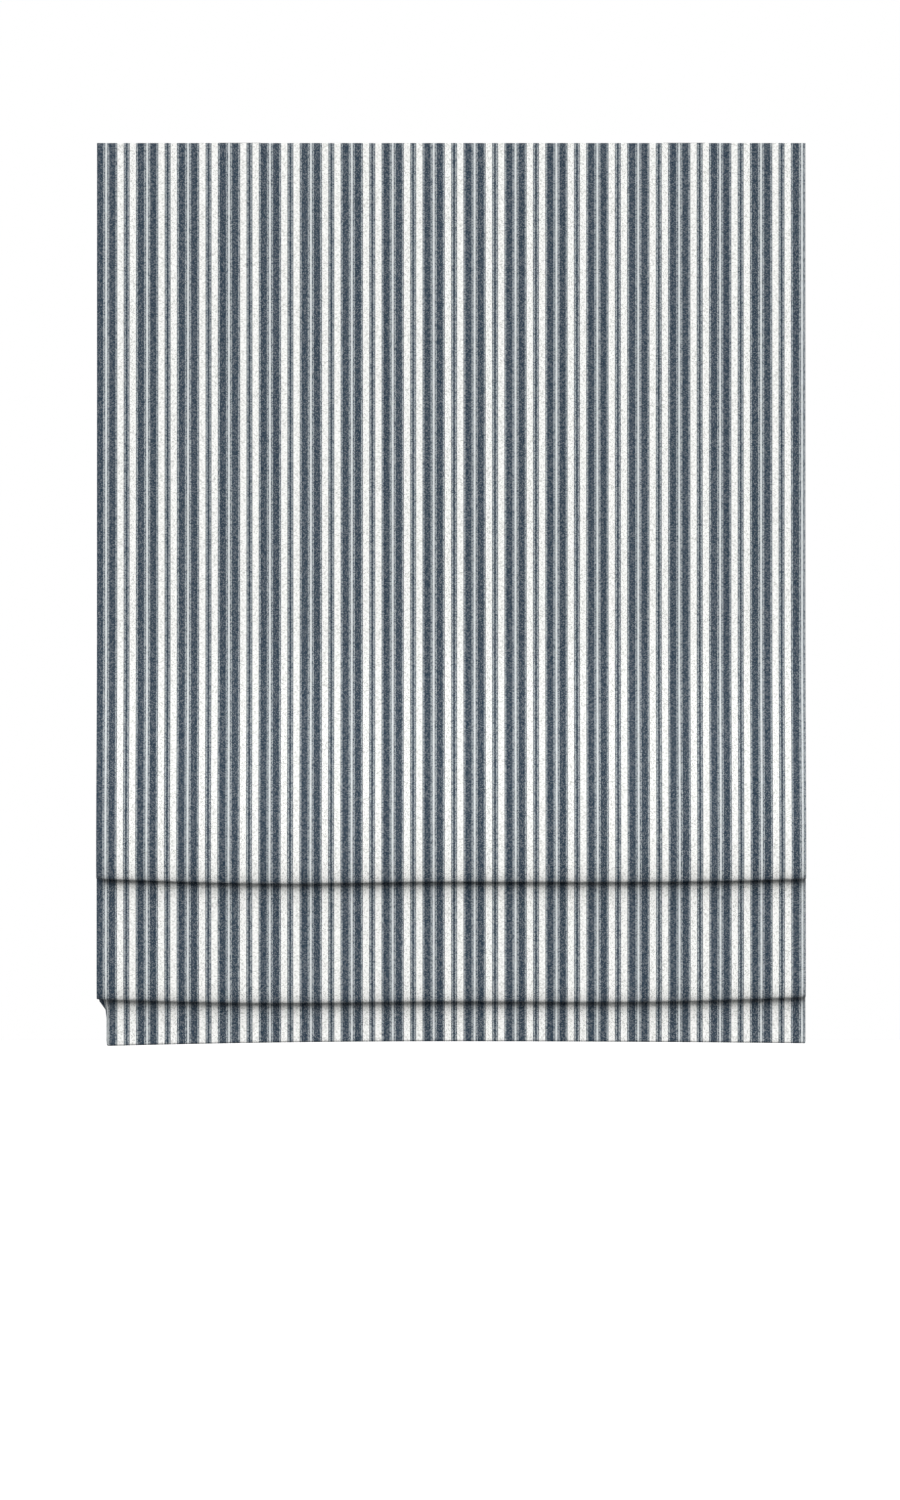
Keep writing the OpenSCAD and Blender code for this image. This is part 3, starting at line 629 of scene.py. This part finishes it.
clear_moulding, tree, shader = new_finish("clear_moulding", Coat_Weight=0.3)
cloud = grain(tree, scale=120, detail=2)
tint(tree, shader, cloud, (0.7, 0.72, 0.73, 1), (0.86, 0.88, 0.89, 1))
roughen(tree, shader, cloud, low=0.1, high=0.25)

for rib in ["upper", "middle", "lower", "bottom"]:
    dress([rib + "_rib_tape"], woven_tape)
    dress([rib + "_rib_rod"], glass_rod)
    dress([rib + "_rib_rings"], clear_moulding)


# Sewing: white polyester thread. Running stitches hold the rib tapes, the side hems and the bottom hem,
# and four turns of thread tie each ring to its tape.
sewing_thread, tree, shader = new_finish("sewing_thread", Roughness=0.6, Sheen_Weight=0.1)
twist = grain(tree, scale=2500, detail=2)
tint(tree, shader, twist, (0.62, 0.61, 0.58, 1), (0.82, 0.81, 0.78, 1))
relief(tree, shader, twist, depth=0.0001, strength=0.4)
thread_radius = 0.00022


def thread_tube(tree, path, radius, **caps):
    """Thread along a curve in a tree."""
    thread_round = wire(tree, "GeometryNodeCurvePrimitiveCircle", {"Resolution": 5, "Radius": radius})
    tube = {"Curve": path.outputs[0], "Profile Curve": thread_round.outputs[0]}
    return wire(tree, "GeometryNodeCurveToMesh", tube | caps).outputs[0]


stitch_rows, given, stitch_inputs = new_tree("stitch_rows", {
    "Rows": "Geometry", "Spacing": "Float", "Stitch end": "Vector", "Stitch top": "Vector",
    "Thread radius": "Float", "Thread": "Material"})
row_curves = wire(stitch_rows, "GeometryNodeMeshToCurve", {0: given["Rows"]}).outputs[0]
needle_holes = wire(stitch_rows, "GeometryNodeCurveToPoints",
                    {"Curve": row_curves, "Length": given["Spacing"]}, mode="LENGTH").outputs
along_row = wire(stitch_rows, "FunctionNodeAlignRotationToVector",
                 {"Vector": needle_holes["Tangent"]}, axis="X").outputs[0]
stitch_start = wire(stitch_rows, "ShaderNodeVectorMath",
                    {0: given["Stitch end"], 1: (-1, 1, 1)}, operation="MULTIPLY").outputs[0]
bow = wire(stitch_rows, "GeometryNodeCurveQuadraticBezier", {
    "Resolution": 4, "Start": stitch_start, "Middle": given["Stitch top"], "End": given["Stitch end"]})
stitch = thread_tube(stitch_rows, bow, given["Thread radius"], **{"Fill Caps": True})
sewn = wire(stitch_rows, "GeometryNodeInstanceOnPoints", {
    "Points": needle_holes["Points"], "Instance": stitch, "Rotation": along_row})
finish_tree(stitch_rows, sewn.outputs[0], given["Thread"])


def sew(name, rows):
    """Running stitches along rows, each a chain of points."""
    piece = chains(name, rows)
    grow(piece, stitch_rows, stitch_inputs, {
        "Spacing": 0.0036, "Stitch end": (0.0012, -thread_radius, 0),
        "Stitch top": (0, 3 * thread_radius, 0), "Thread radius": thread_radius, "Thread": sewing_thread})
    settle(piece)
    return piece


tape_thickness = 0.0008
row_inset = 0.003
pocket_row_drop = 0.0083
edge_row_rise = 0.0015


def tape_rows(rib):
    """The two rows that hold a rib tape: one under the rod pocket, one along its lower edge."""
    low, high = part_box(rib + "_rib_tape")
    back = low.y + tape_thickness
    return [[(low.x + row_inset, back, z), (high.x - row_inset, back, z)]
            for z in (high.z - pocket_row_drop, low.z + edge_row_rise)]


hem_row_left = 0.006
hem_row_right = 0.015
hem_row_y = seam_y + face_out
hem_row_z = (seam_low + seam_high) / 2
hem_row = [(bar_low.x + hem_row_left, hem_row_y, hem_row_z),
           (bar_high.x + hem_row_right, hem_row_y, hem_row_z)]
for name, rows, body in [
        ("upper_rib_stitches", tape_rows("upper"), "upper_rib"),
        ("middle_rib_stitches", tape_rows("middle"), "middle_rib"),
        ("lower_stitches", tape_rows("lower") + tape_rows("bottom") + [hem_row], "lift")]:
    stitches = sew(name, rows)
    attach(stitches, body)

side_row_inset = 0.0025
side_row_x = hem_edge + side_row_inset
side_rows = [[(x, y + face_out, z) for y, z in panel["panel"] + panel["bulge"]]
             for x in (-side_row_x, side_row_x)]
side_stitches = sew("side_hem_stitches", side_rows)
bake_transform(side_stitches)

ring_ties, given, tie_inputs = new_tree("ring_ties", {
    "Rings": "Geometry", "Turns": "Int", "Turn step": "Vector", "First turn": "Vector",
    "Tie radius": "Float", "Thread radius": "Float", "Thread": "Material"})
turn_places = wire(ring_ties, "GeometryNodeMeshLine", {
    "Count": given["Turns"], "Start Location": given["First turn"], "Offset": given["Turn step"]})
tie_loop = wire(ring_ties, "GeometryNodeCurvePrimitiveCircle",
                {"Resolution": 14, "Radius": given["Tie radius"]})
tie_turn = thread_tube(ring_ties, tie_loop, given["Thread radius"])
tie = wire(ring_ties, "GeometryNodeInstanceOnPoints", {
    "Points": turn_places.outputs[0], "Instance": tie_turn, "Rotation": (0, math.radians(90), 0)})
tied = wire(ring_ties, "GeometryNodeInstanceOnPoints", {"Points": given["Rings"], "Instance": tie.outputs[0]})
finish_tree(ring_ties, tied.outputs[0], given["Thread"])

cord_names = ["lift_cord_" + place for place in cord_places]
cord_x = [sum(corner.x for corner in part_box(name)) / 2 for name in cord_names]
for name, ribs, body in [
        ("upper_ring_ties", ["upper"], "upper_rib"),
        ("middle_ring_ties", ["middle"], "middle_rib"),
        ("lower_ring_ties", ["lower", "bottom"], "lift")]:
    ring_boxes = [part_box(rib + "_rib_rings") for rib in ribs]
    ring_radius = (ring_boxes[0][1].z - ring_boxes[0][0].z) / 2
    ties = chains(name, [[(x, low.y + ring_radius, (low.z + high.z) / 2)]
                         for low, high in ring_boxes for x in cord_x])
    grow(ties, ring_ties, tie_inputs, {
        "Turns": 4, "Turn step": (2 * thread_radius, 0, 0), "First turn": (-3 * thread_radius, 0, 0),
        "Tie radius": ring_radius + thread_radius, "Thread radius": thread_radius,
        "Thread": sewing_thread})
    settle(ties)
    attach(ties, body)


# Bottom bar: a mill-finish aluminium flat with rounded edges.
# It slides into the hem's pocket and keeps the hem straight.
mill_bar = drawn_stock("mill_bar", (5, 1500, 1500), (0.4, 0.41, 0.42, 1), (0.55, 0.56, 0.57, 1),
                       low=0.28, high=0.45)
dress(["bottom_bar"], mill_bar)


# Lift cords: three-strand laid polyester. Each is wound on its spool and runs from there down through
# its row of rings to an adjuster under the lowest ring.
laid_polyester, tree, shader = new_finish("laid_polyester", Roughness=0.65, Sheen_Weight=0.1)
filaments = grain(tree, scale=1800, detail=2)
tint(tree, shader, filaments, (0.66, 0.65, 0.61, 1), (0.84, 0.83, 0.79, 1))
relief(tree, shader, filaments, depth=0.0001, strength=0.4)
dress(["cord_adjusters"], white_moulding)

laid_cord, given, cord_inputs = new_tree("laid_cord", {
    "Runs": "Geometry", "Cord radius": "Float", "Strands": "Float", "Strand depth": "Float",
    "Lay": "Float", "Step": "Float", "Cord": "Material"})
runs = wire(laid_cord, "GeometryNodeMeshToCurve", {0: given["Runs"]}).outputs[0]
runs = wire(laid_cord, "GeometryNodeResampleCurve",
            {"Curve": runs, "Length": given["Step"]}, mode="LENGTH").outputs[0]
run_length = wire(laid_cord, "GeometryNodeSplineParameter").outputs["Length"]
lay_turn = calc(laid_cord, "MULTIPLY", calc(laid_cord, "DIVIDE", run_length, given["Lay"]), 2 * math.pi)
runs = wire(laid_cord, "GeometryNodeSetCurveTilt", {"Curve": runs, "Tilt": lay_turn}).outputs[0]
cord_round = wire(laid_cord, "GeometryNodeCurvePrimitiveCircle",
                  {"Resolution": 15, "Radius": given["Cord radius"]}).outputs[0]
round_at = wire(laid_cord, "GeometryNodeInputPosition").outputs[0]
round_x, round_y, _ = wire(laid_cord, "ShaderNodeSeparateXYZ", {0: round_at}).outputs
around = calc(laid_cord, "ARCTAN2", round_y, round_x)
lobe = calc(laid_cord, "COSINE", calc(laid_cord, "MULTIPLY", around, given["Strands"]))
inward = calc(laid_cord, "MULTIPLY", calc(laid_cord, "SUBTRACT", lobe, 1.0), given["Strand depth"])
drawn_in = wire(laid_cord, "ShaderNodeVectorMath",
                {0: round_at, "Scale": inward}, operation="SCALE").outputs[0]
strands = wire(laid_cord, "GeometryNodeSetPosition", {"Geometry": cord_round, "Offset": drawn_in}).outputs[0]
laid = wire(laid_cord, "GeometryNodeCurveToMesh",
            {"Curve": runs, "Profile Curve": strands, "Fill Caps": True}).outputs[0]
finish_tree(laid_cord, laid, given["Cord"])

cord_low, cord_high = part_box("lift_cord_left")
cord_radius = (cord_high.x - cord_low.x) / 2


def lay(name, paths):
    """Laid cord along paths, each a chain of points."""
    piece = chains(name, paths)
    grow(piece, laid_cord, cord_inputs, {
        "Cord radius": cord_radius, "Strands": 3.0, "Strand depth": 0.09, "Lay": 0.006, "Step": 0.0012,
        "Cord": laid_polyester})
    settle(piece)
    return piece


for name, x in zip(cord_names, cord_x):
    low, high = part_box(name)
    y = (low.y + high.y) / 2
    cord = lay(name + "_laid", [[(x, y, high.z), (x, y, low.z)]])
    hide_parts(name)
    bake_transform(cord)

wound_low, wound_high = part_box("cord_turns")
spool_y = (wound_low.y + wound_high.y) / 2
spool_z = (wound_low.z + wound_high.z) / 2
wound_radius = (wound_high.z - wound_low.z) / 2 - cord_radius
first_turn = wound_low.x + cord_radius - cord_x[0]
last_turn = wound_high.x - cord_radius - cord_x[-1]
lead_turns = 0.25
wound_turns = 6.25
turn_steps = 40


def winding(x):
    """A cord's turns on the spool about x: a lead-in from the hanging cord, then an even helix."""
    points = []
    for i in range(int(wound_turns * turn_steps) + 1):
        turned = i / turn_steps
        lead_in = min(1, turned / lead_turns)
        wound_share = max(0, turned - lead_turns) / (wound_turns - lead_turns)
        angle = 2 * math.pi * turned
        points.append((x + first_turn * lead_in + (last_turn - first_turn) * wound_share,
                       spool_y - wound_radius * math.cos(angle), spool_z + wound_radius * math.sin(angle)))
    return points


wound_cord = lay("wound_cord", [winding(x) for x in cord_x])
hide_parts("cord_turns")
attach(wound_cord, "shaft")


# Stage: a pale floor below the blind, a white surround, a soft lamp before the cloth and one behind it,
# and a long lens square to the cloth.
def seen_straight(tree):
    """1 for the camera and for what it sees in gloss or glass, 0 for light that falls on the blind."""
    ray = wire(tree, "ShaderNodeLightPath").outputs
    return calc(tree, "MAXIMUM", ray["Is Camera Ray"],
                calc(tree, "MAXIMUM", ray["Is Glossy Ray"], ray["Is Transmission Ray"]))


floor_z = -2.1
floor_reach = 30.0
floor_glow = 0.85
floor_mesh = bpy.data.meshes.new("floor")
floor_mesh.from_pydata([(-floor_reach, -floor_reach, floor_z), (floor_reach, -floor_reach, floor_z),
                        (floor_reach, floor_reach, floor_z), (-floor_reach, floor_reach, floor_z)],
                       [], [(0, 1, 2, 3)])
floor = bpy.data.objects.new("floor", floor_mesh)
scene.collection.objects.link(floor)
floor_paint, tree, shader = new_finish("floor_paint", Base_Color=(0.15, 0.15, 0.15, 1), Roughness=0.9)
glow_strength = calc(tree, "MULTIPLY", seen_straight(tree), floor_glow)
glow = wire(tree, "ShaderNodeEmission", {"Color": (1, 1, 1, 1), "Strength": glow_strength})
total = wire(tree, "ShaderNodeAddShader", {0: shader.outputs[0], 1: glow.outputs[0]})
tree.links.new(total.outputs[0], tree.nodes["Material Output"].inputs["Surface"])
floor_mesh.materials.append(floor_paint)

surround_light = 0.21
world = bpy.data.worlds.new("surround")
scene.world = world
world.use_nodes = True
tree = world.node_tree
surround = tree.nodes["Background"].inputs
surround["Color"].default_value = (1, 1, 1, 1)
tree.links.new(calc(tree, "MULTIPLY_ADD", seen_straight(tree), 1 - surround_light, surround_light),
               surround["Strength"])


def wide_lamp(name, towards, spread, strength):
    """A far, wide lamp that lights the whole cloth alike; spread is its width in degrees."""
    lamp = bpy.data.lights.new(name, "SUN")
    lamp.angle = math.radians(spread)
    lamp.energy = strength
    lit_from = bpy.data.objects.new(name, lamp)
    flat = math.hypot(towards[0], towards[1])
    lit_from.rotation_euler = (math.atan2(flat, -towards[2]), 0, math.atan2(-towards[0], towards[1]))
    scene.collection.objects.link(lit_from)


wide_lamp("key", towards=(0.2, 0.66, -0.72), spread=66, strength=3.85)
wide_lamp("back", towards=(-0.4, -0.9, -0.12), spread=60, strength=2.1)

photo_width = 900
photo_height = 1500
cloth_width_pixels = 708.5
cloth_top_pixel = 143
cloth_middle_pixel = 451.2
metres_per_pixel = 2 * half_width / cloth_width_pixels
view_distance = 12.0
camera_data = bpy.data.cameras.new("camera")
camera_data.sensor_width = 36
camera_data.lens = camera_data.sensor_width * view_distance / (photo_height * metres_per_pixel)
camera_data.clip_end = 100
camera = bpy.data.objects.new("camera", camera_data)
camera.location = ((photo_width / 2 - cloth_middle_pixel) * metres_per_pixel,
                   hang_y - face_out - view_distance,
                   face_high.z - (photo_height / 2 - cloth_top_pixel) * metres_per_pixel)
camera.rotation_euler = (math.radians(90), 0, 0)
scene.collection.objects.link(camera)
scene.camera = camera
scene.view_settings.view_transform = "Standard"
